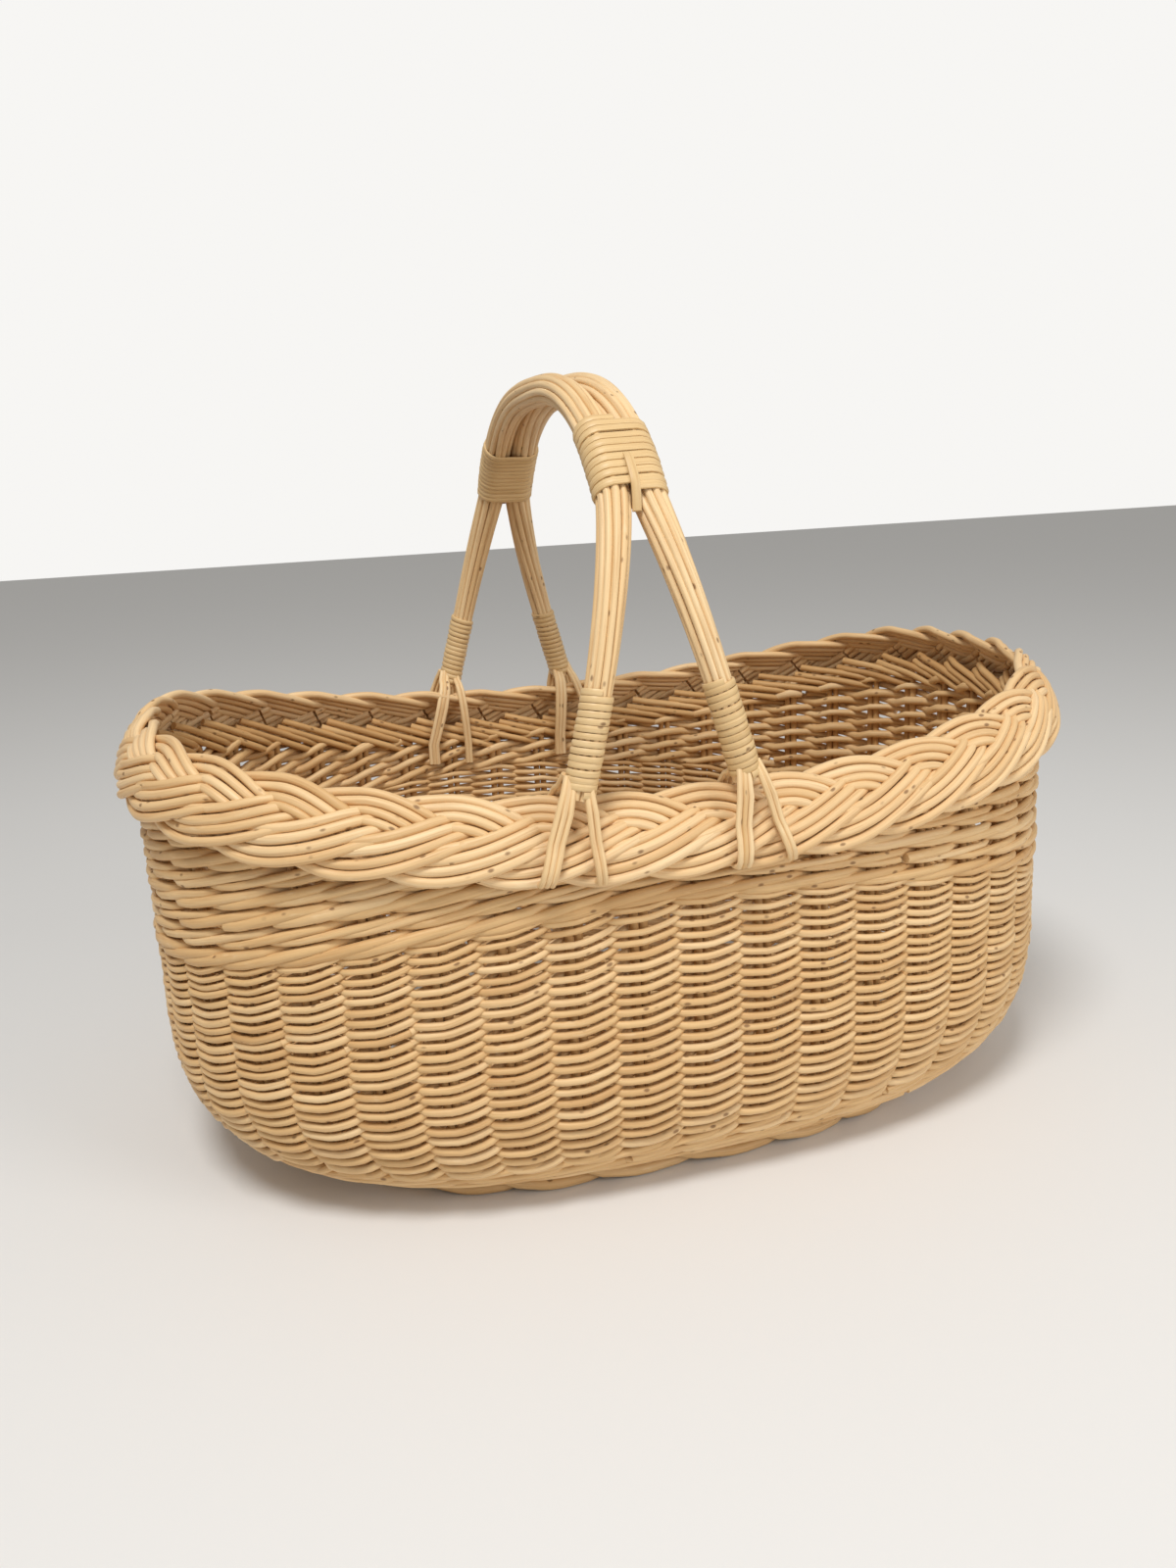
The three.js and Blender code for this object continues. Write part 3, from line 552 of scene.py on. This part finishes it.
def wale(turns, level_at, fits_at, butt, tip, rod_length):
    """Three strands spiral up side by side, each made of rods laid butt to tip."""
    rods = []
    for strand in range(3):
        run = np.arange(0, turns * STAKES * ROD_STEPS) / ROD_STEPS
        rise, depth = wale_path(run, strand)
        level = level_at(run, run / STAKES + rise) + wander(run, 0.35)
        depth = depth + wander(run, 0.25)
        shift = chance.uniform(0, rod_length)
        spent = np.mod(run + shift, rod_length) / rod_length
        radii = butt + (tip - butt) * spent
        fits = fits_at(run, level)
        breaks = np.flatnonzero(np.diff(spent) < 0) + 1
        for part in np.split(np.arange(len(run)), breaks):
            kept = part[fits[part]]
            for stretch in np.split(kept, np.flatnonzero(np.diff(kept) > 1) + 1):
                if len(stretch) > ROD_STEPS:
                    points = on_wall(run[stretch], level[stretch], depth[stretch])
                    rods.append((points, radii[stretch] * chance.uniform(0.88, 1.08)))
    return rods


FOOT_TURNS, FOOT_PITCH = 7, 8.6
UPPER_TURNS = 10
BORDER_COVER = 17


def foot_level(run, row):
    walk = (FOOT_TURNS + 0.35 - row) * FOOT_PITCH - 5 * round_climb(run)
    return walk_down(run, belly_low(run), walk)


def upper_level(run, row):
    x_share = wall_edge(turn_at(run), 1.0)[..., 0] / WALL_LENGTH
    return wale_low(run) + 2 + row * (10 + 1.6 * x_share ** 2)


def above_foot(run, level):
    return level > WALL_BOTTOM + 0.05


def below_border(run, level):
    return level < rim_level(run) - BORDER_COVER


bottom_rods = wale(FOOT_TURNS, foot_level, above_foot, 2.7, 2.2, 29)
lay_rods("bottom_wale_rods", bottom_rods, 8, "weave_willow", ("bottom_wale",))

upper_rods = wale(UPPER_TURNS, upper_level, below_border, 3.4, 2.3, 31)
lay_rods("upper_wale_rods", upper_rods, 8, "weave_willow", ("upper_wale",))


# %% [markdown]
# The border is a plait of four flat strands, each of four rods laid side by
# side, wound round the rim like a collar that leans outwards. A strand comes
# over the inner crest, runs down to the right over one strand, dives under
# two, sweeps along the lower edge over two, and goes back up under one.
# There are 36 points where the strands meet in a V, so that nine rounds of
# the pattern close the plait.

# %% Plaited border
PLAIT_POINTS = 36
PLAIT_HALF_BREADTH = 14.2
PLAIT_LIFT = 2.6
PLAIT_LEAN = math.radians(30)
PLAIT_ROD_RADIUS = 2.7
PLAIT_CROWN = 0.0105
RODS_IN_STRAND = 4


def rim_point(stake, out, up):
    """A point beside the rim: out of the wall and up from the rim's line."""
    turn = turn_at(stake)
    edge = wall_edge(turn, 1.0) - inward_at(turn, 1.0) * np.asarray(out)[..., None]
    return np.concatenate([edge, (rim_level(stake) + up)[..., None]], -1)


def smooth_pattern(run, period, knots, values):
    """A closed smooth curve through the knots, as a bent rod would take it."""
    dense = np.arange(0, period, period / 240)
    rough = np.interp(dense, knots, values, period=period)
    window = np.hanning(15)
    window /= window.sum()
    wrapped = np.concatenate([rough[-14:], rough, rough[:14]])
    smooth = np.convolve(wrapped, window, "same")[14:-14]
    return np.interp(run, dense, smooth, period=period)


def plait_breadth(phase):
    """Across the plait: +1 at the crest (phase 0), -1 at the lower edge (1.7)."""
    phase = np.mod(phase, 4)
    falling = np.cos(np.pi * phase / 1.7)
    rising = -np.cos(np.pi * (phase - 1.7) / 2.3)
    return np.where(phase < 1.7, falling, rising)


LIFT_PLACES = [0.0, 0.3, 0.52, 0.74, 1.4, 1.75, 2.1, 2.98, 3.28, 3.6, 3.85]
LIFTS = [0.6, 1.15, 0.9, -1.0, -1.0, -0.1, 1.0, 1.0, -1.0, -1.0, -0.4]
plait_rods = []
stakes_per_point = STAKES / PLAIT_POINTS
for point in range(PLAIT_POINTS):
    phase = np.arange(0.98, 5.02, 0.09)
    breadth = PLAIT_HALF_BREADTH * plait_breadth(phase)
    run = (point + phase) * stakes_per_point * STAKE_STEP
    heading = np.arctan2(np.gradient(breadth), np.gradient(run))
    for rod in range(RODS_IN_STRAND):
        aside = (rod - (RODS_IN_STRAND - 1) / 2) * 2 * PLAIT_ROD_RADIUS
        across = breadth + aside * np.cos(heading) + wander(phase, 0.35)
        along = run - aside * np.sin(heading)
        sooner = aside * heading * 1.4 / (stakes_per_point * STAKE_STEP)
        high = PLAIT_LIFT * smooth_pattern(phase + sooner, 4, LIFT_PLACES, LIFTS) + wander(phase, 0.2)
        bend = PLAIT_CROWN * across ** 2
        out = -across * math.sin(PLAIT_LEAN) + (high - bend) * math.cos(PLAIT_LEAN)
        up = across * math.cos(PLAIT_LEAN) + (high - bend) * math.sin(PLAIT_LEAN)
        radii = PLAIT_ROD_RADIUS * chance.uniform(0.93, 1.1) * np.linspace(1.04, 0.92, len(phase))
        plait_rods.append((rim_point(along / STAKE_STEP, out, up), radii))
lay_rods("plait_rods", plait_rods, 10, "border_willow", ("plaited_border",))

# %% [markdown]
# The foot is a thick border of its own. Each rod comes down from under the
# wale, sweeps along the floor and curls in behind the next, which gives the
# scalloped edge that the basket stands on.

# %% Foot border
FOOT_REPEATS = 22
FOOT_RADIUS = 3.7


foot_rods = []
for repeat in range(FOOT_REPEATS):
    run = np.linspace(0, 1.95, 22)
    height = np.interp(run, [0, 0.25, 0.55, 0.9, 1.4, 1.7, 1.95], [19, 14.5, 7.5, 4.1, 4.1, 6.5, 10])
    inset = np.interp(run, [0, 0.25, 0.55, 1.1, 1.45, 1.7, 1.95], [8, 3.4, 2.6, 3.2, 6.5, 11.5, 13])
    radii = FOOT_RADIUS * np.interp(run, [0, 0.3, 1.95], [0.8, 1.0, 0.9]) * chance.uniform(0.96, 1.04)
    foot_rods.append((on_foot((repeat + run) * STAKES / FOOT_REPEATS, inset, height), radii))
    filler = np.linspace(-0.1, 1.1, 10)
    for inner, high in ((11.2, 4.6), (8.0, 10.5), (3.6, 10.6)):
        points = on_foot((repeat + filler) * STAKES / FOOT_REPEATS, inner,
                         high + 0.5 * np.sin(filler * np.pi))
        foot_rods.append((points, np.full(len(filler), 3.6)))
lay_rods("foot_border_rods", foot_rods, 10, "weave_willow", ("foot_ring",))

# %% [markdown]
# The base is woven first. Seven thick sticks lie across and three along, and
# thin rods go round them in ovals, over one stick and under the next, with
# each round the other way from the last.

# %% Base
BASE_MIDDLE = 13
stick_rods = []
cross_places = [48 * (number - 3) for number in range(7)]
for number, x in enumerate(cross_places):
    low, high = (np.array(corner) * 1000 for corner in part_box(f"base_cross_stick_{number + 1}"))
    y = np.linspace(low[1] + 1, high[1] - 1, 14)
    points = np.stack([np.full(14, (low[0] + high[0]) / 2), y, np.full(14, BASE_MIDDLE)], -1)
    stick_rods.append((points, np.interp(np.abs(y), [0, 130], [4.4, 3.6])))
lay_rods("cross_sticks", stick_rods, 10, "stake_willow",
         tuple(f"base_cross_stick_{number}" for number in range(1, 8)))
long_rods = []
for number in range(1, 4):
    low, high = (np.array(corner) * 1000 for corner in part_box(f"base_long_stick_{number}"))
    x = np.linspace(low[0] + 1, high[0] - 1, 20)
    points = np.stack([x, np.full(20, (low[1] + high[1]) / 2), np.full(20, BASE_MIDDLE)], -1)
    long_rods.append((points, np.full(20, 3.0)))
lay_rods("long_sticks", long_rods, 10, "stake_willow",
         tuple(f"base_long_stick_{number}" for number in range(1, 4)))

base_rods = []
BASE_ROUNDS = 32
ROUND_SPACING, ROUND_RADIUS = 3.9, 1.95
for number in range(BASE_ROUNDS):
    inset = 17 + number * ROUND_SPACING
    length, width = BASE_LENGTH - inset, BASE_WIDTH - inset
    if width < 12:
        break
    squareness = BASE_SQUARENESS - 0.6 * number / BASE_ROUNDS
    turns = np.linspace(0, 2 * np.pi, 150)
    round_path = oval(length, width, squareness, turns)
    crossed = []
    for x in cross_places:
        if abs(x) < length - 12:
            turn = np.arccos(np.sign(x) * (abs(x) / length) ** (squareness / 2))
            crossed += [turn, 2 * np.pi - turn]
    crossed = np.sort(np.array(crossed + [0.0, np.pi]))
    swings = np.where((np.arange(len(crossed)) + number) % 2 == 0, 1.0, -1.0)
    swing = np.interp(turns, np.append(crossed, 2 * np.pi), np.append(swings, swings[0]))
    height = BASE_MIDDLE + 5.4 * np.sin(swing * np.pi / 2) + wander(turns, 0.25, 0.3)
    points = np.column_stack([round_path, height])
    base_rods.append((points, np.full(len(points), ROUND_RADIUS) * chance.uniform(0.92, 1.06)))
lay_rods("base_rounds", base_rods, 6, "weave_willow", ("base_weave",))

# %% [markdown]
# The handle is two bundles of thin rods that rise from the border, lean
# together and run side by side over the top. In each bundle the rods lie
# round a core with a light twist, like a loose rope.

# %% Handle bundles
HANDLE_X, ARCH_HALF_WIDTH, ARCH_FOOT, ARCH_HEIGHT, ARCH_SQUARENESS = -22, 187, 226, 231.5, 2.6
arch_turns = np.linspace(0, np.pi, 4001)
arch_plan = oval(ARCH_HALF_WIDTH, ARCH_HEIGHT, ARCH_SQUARENESS, np.pi - arch_turns)
arch_run = np.concatenate([[0], np.cumsum(np.linalg.norm(np.diff(arch_plan, axis=0), axis=1))])
ARCH_LENGTH = arch_run[-1]
TOGETHER, FEET_APART = 9.65, 46
LEG_FOOT, LEG_RUN = 25, 151
BUNDLE_END = 22
print("the arch is", round(ARCH_LENGTH), "mm long")


def half_spread(distance):
    """Half the distance between the bundles' middles."""
    near = np.minimum(distance, ARCH_LENGTH - distance)
    opened = np.clip(1 - (near - LEG_FOOT) / LEG_RUN, 0, 1.2) ** 1.15
    return TOGETHER + (FEET_APART - TOGETHER) * opened


def arch_middle(distance, side):
    y = np.interp(distance, arch_run, arch_plan[:, 0])
    z = np.interp(distance, arch_run, arch_plan[:, 1]) + ARCH_FOOT
    return np.stack([HANDLE_X + side * half_spread(distance), y, z], -1)


def arch_frame(distance, side):
    """The bundle's middle, and two directions square to it: sideways and outwards."""
    middle = arch_middle(distance, side)
    along = arch_middle(distance + 1, side) - arch_middle(distance - 1, side)
    along /= np.linalg.norm(along, axis=-1, keepdims=True)
    sideways = np.array([1.0, 0, 0]) - along * along[..., :1]
    sideways /= np.linalg.norm(sideways, axis=-1, keepdims=True)
    return middle, sideways, np.cross(sideways, along)


def bundle_radius(distance):
    near = np.minimum(distance, ARCH_LENGTH - distance)
    return np.interp(near, [75, 176], [7.6, 9.5])


BUNDLE_RODS = 11
for name, side, twist in (("left", -1, 0.9), ("right", 1, 2.1)):
    distance = np.linspace(BUNDLE_END, ARCH_LENGTH - BUNDLE_END, 120)
    middle, sideways, outwards = arch_frame(distance, side)
    radius = bundle_radius(distance)
    turned = twist * np.sin((distance / ARCH_LENGTH - 0.5) * np.pi)
    rods = [(middle, radius * 0.52)]
    for rod in range(BUNDLE_RODS):
        angle = 2 * np.pi * rod / BUNDLE_RODS + turned + wander(distance, 0.05, 60)
        rod_radius = radius * np.pi / BUNDLE_RODS * 0.83 * chance.uniform(0.95, 1.07)
        reach = radius - rod_radius + wander(distance, 0.15, 50)
        points = (middle + sideways * (np.cos(angle) * reach)[:, None]
                  + outwards * (np.sin(angle) * reach)[:, None])
        rods.append((points, rod_radius))
    lay_rods(f"handle_rods_{name}", rods, 8, "handle_willow", (f"handle_bundle_{name}",))


# %% [markdown]
# The bindings are skeins, willow split and shaved to a flat strip. A strip
# has a crowned outer face, so it isn't a round bevel: its section is drawn
# here point by point and carried round the bundle, always flat to it.

# %% Skein windings
SKEIN_SECTION = ((-0.5, 0.0), (-0.47, 0.62), (-0.25, 0.95), (0.25, 0.95), (0.47, 0.62), (0.5, 0.0))


def carry_strip(name, paths, slot, nodes=()):
    """Sweep a flat strip: paths hold points, width and height directions, and sizes."""
    vertices, faces, place, tint = [], [], [], []
    corners = len(SKEIN_SECTION)
    for points, wide, high, width, thickness in paths:
        first = len(vertices)
        steps = np.linalg.norm(np.diff(points, axis=0), axis=1)
        run = np.concatenate([[0], np.cumsum(steps)]) + chance.uniform(0, 9000)
        shade = chance.uniform(0.1, 0.9)
        for ring in range(len(points)):
            for across, up in SKEIN_SECTION:
                vertices.append(points[ring] + wide[ring] * across * width[ring]
                                + high[ring] * (up - 0.5) * thickness[ring])
                place.append((run[ring], across * width[ring], up * thickness[ring]))
                tint.append(shade)
        for ring in range(len(points) - 1):
            here, there = first + ring * corners, first + (ring + 1) * corners
            for corner in range(corners):
                beside = (corner + 1) % corners
                faces.append((here + corner, here + beside, there + beside, there + corner))
        faces.append(tuple(range(first + corners - 1, first - 1, -1)))
        last = first + (len(points) - 1) * corners
        faces.append(tuple(range(last, last + corners)))
    mesh = bpy.data.meshes.new(name)
    mesh.from_pydata([tuple(v * MM) for v in vertices], [], faces)
    mesh.update()
    piece = bpy.data.objects.new(name, mesh)
    scene.collection.objects.link(piece)
    bpy.ops.object.select_all(action="DESELECT")
    piece.select_set(True)
    bpy.context.view_layer.objects.active = piece
    bpy.ops.object.mode_set(mode="EDIT")
    bpy.ops.mesh.select_all(action="SELECT")
    bpy.ops.mesh.normals_make_consistent(inside=False)
    bpy.ops.object.mode_set(mode="OBJECT")
    remember_rods(mesh, np.array(place), np.array(tint))
    bpy.ops.object.shade_smooth_by_angle(angle=math.radians(50))
    dress(piece, slot, nodes)


def rounded_loop(half_straight, radius, turn):
    """A round loop with straight sides: points and outward directions."""
    quarter = np.pi * radius / 2
    whole = 4 * quarter + 4 * half_straight
    walk = np.mod(turn, 1.0) * whole
    knots = np.cumsum([0, half_straight, 2 * quarter, 2 * half_straight, 2 * quarter, half_straight])
    angle = np.interp(walk, knots, np.array([0.5, 0.5, -0.5, -0.5, -1.5, -1.5]) * np.pi)
    shift = np.interp(walk, knots, np.array([0, 1, 1, -1, -1, 0]) * half_straight)
    out = np.stack([np.cos(angle), np.sin(angle)], -1)
    return out * radius + np.stack([shift, 0 * shift], -1), out


def winding(first, last, turns, sides, thickness, per_turn, back=False):
    """A strip wound from distance first to last along the arch."""
    turn = np.linspace(0, turns, turns * per_turn + 1)
    distance = np.interp(turn, [0, 0.4, turns - 0.4, turns], [first, first + 1.2, last - 1.2, last])
    distance = distance + wander(turn, 0.22, 1.0)
    if back:
        distance = ARCH_LENGTH - distance
    bundles = [arch_frame(distance, side) for side in sides]
    middle = sum(bundle[0] for bundle in bundles) / len(bundles)
    sideways, outwards = bundles[0][1], bundles[0][2]
    if len(sides) == 2:
        sideways = np.tile([1.0, 0, 0], (len(turn), 1))
    straight = half_spread(distance) if len(sides) == 2 else 0 * distance
    radius = bundle_radius(distance) + thickness * 0.5 + wander(turn, 0.12, 1.0)
    loop = [rounded_loop(s, r, t) for s, r, t in zip(straight, radius, turn)]
    flat = np.array([one[0] for one in loop])
    out = np.array([one[1] for one in loop])
    points = middle + sideways * flat[:, :1] + outwards * flat[:, 1:]
    high = sideways * out[:, :1] + outwards * out[:, 1:]
    along = np.cross(sideways, outwards)
    pitch = (last - first) / turns
    width = pitch + wander(turn, 0.12, 1.0)
    return points, along, high, width, np.full(len(turn), thickness)


for end, back in (("front", False), ("back", True)):
    for leg, side in (("left", -1), ("right", 1)):
        carry_strip(f"{end}_{leg}_leg_winding", [winding(25, 75, 14, [side], 1.3, 18, back)], "skein",
                    (f"{end}_{leg}_leg_binding",))
for end, back, turns in (("front", False, 10), ("back", True, 12)):
    carry_strip(f"{end}_shoulder_winding", [winding(176, 222, turns, [-1, 1], 1.5, 28, back)], "skein",
                (f"{end}_shoulder_binding",))

# %% [markdown]
# A short strap of skein runs down the groove between the two bundles over
# the lowest turns of each shoulder winding, and tucks in below it.

# %% Straps
STRAP_WIDTH, STRAP_THICKNESS = 5, 1.6
for end, back in (("front", False), ("back", True)):
    distance = np.linspace(165, 195, 14)
    reach = np.interp(distance, [165, 170, 176, 180, 192, 195], [4.2, 7.6, 11.2, 12.0, 12.0, 11.0])
    if back:
        distance = ARCH_LENGTH - distance
    left, right_side = arch_frame(distance, -1), arch_frame(distance, 1)
    middle = (left[0] + right_side[0]) / 2
    outwards = (left[2] + right_side[2]) / 2
    outwards /= np.linalg.norm(outwards, axis=1, keepdims=True)
    points = middle + outwards * reach[:, None]
    across = np.tile([1.0, 0, 0], (len(points), 1))
    size = np.ones(len(points))
    strap = (points, across, outwards, size * STRAP_WIDTH, size * STRAP_THICKNESS)
    carry_strip(f"{end}_strap_skein", [strap], "skein", (f"{end}_shoulder_strap",))

# %% [markdown]
# Below each leg binding the thin rods part into groups: some lie over the
# border's outer face and tuck in under its lower edge, the others go over
# the crest and down inside. Each group's rods lie side by side.


# %% Tails
TAIL_RADIUS = 1.65


def plait_face(angle, lift):
    """A place round the plait's section: 0 is the crest, 90 the outer face."""
    angle = np.radians(angle)
    across, high = 22 * np.cos(angle), 7 * np.sin(angle)
    out = -across * math.sin(PLAIT_LEAN) + high * math.cos(PLAIT_LEAN)
    up = across * math.cos(PLAIT_LEAN) + high * math.sin(PLAIT_LEAN)
    normal = np.stack([np.cos(angle) * 7, np.sin(angle) * 22], -1)
    normal /= np.linalg.norm(normal, axis=-1, keepdims=True)
    out = out - normal[..., 0] * lift * math.sin(PLAIT_LEAN) + normal[..., 1] * lift * math.cos(PLAIT_LEAN)
    up = up + normal[..., 0] * lift * math.cos(PLAIT_LEAN) + normal[..., 1] * lift * math.sin(PLAIT_LEAN)
    return out, up


def stake_at(x, end):
    """The stake number where the wall passes a given x on the front or back."""
    turn = np.arccos(np.sign(x) * (abs(x) / WALL_LENGTH) ** (WALL_SQUARENESS / 2))
    turn = 2 * np.pi - turn if end == "front" else turn
    return np.interp(turn, fine_turns, outline_run) / STAKE_STEP


def tail_path(face):
    """Where a tail runs: out of the wall, and up from the rim's line."""
    if face == "inside":
        out = [-3.0, -7.0, -12.5, -16.5, -19.5, -19.5, -17.5, -16.5]
        up = [34.0, 27, 24.5, 20, 8, -6, -22, -38]
        return np.array(out), np.array(up)
    out, up = plait_face(np.array([100, 118, 140, 160, 178, 193]), 2.1)
    out = np.concatenate([[3.0, 7.0, 10.2], out])
    up = np.concatenate([[34, 27, 16], up])
    out[-1] -= 2.5
    return out, up


for end, heading in (("front", 1), ("back", -1)):
    for leg, side in (("left", -1), ("right", 1)):
        leg_x = HANDLE_X + side * half_spread(LEG_FOOT)
        outer_count, inner_count = (3, 2) if side < 0 else (2, 3)
        groups = (("a", 17 * side, 4.2 * side, outer_count), ("b", -4 * side, -3.5 * side, inner_count))
        for group, splay, start, count in groups:
            for face in ("outside", "inside"):
                rods = []
                out, up = tail_path(face)
                share = np.clip((34 - up) / 56, 0, 1)
                spread = np.interp(share, [0, 0.12, 0.35, 1], [0.6, 0.75, 1, 0.85])
                for rod in range(count):
                    aside = (rod - (count - 1) / 2) * 2 * TAIL_RADIUS
                    x = leg_x + start + aside * spread
                    x = x + splay * share
                    middle_x = float(np.mean(x))
                    stake = stake_at(middle_x, end) + heading * (x - middle_x) / STAKE_STEP
                    rods.append((rim_point(stake, out, up), np.full(len(up), TAIL_RADIUS)))
                lay_rods(f"{end}_{leg}_{face}_tail_rods_{group}", rods, 8, "handle_willow",
                         (f"{end}_{leg}_leg_{face}_tails_{group}",))
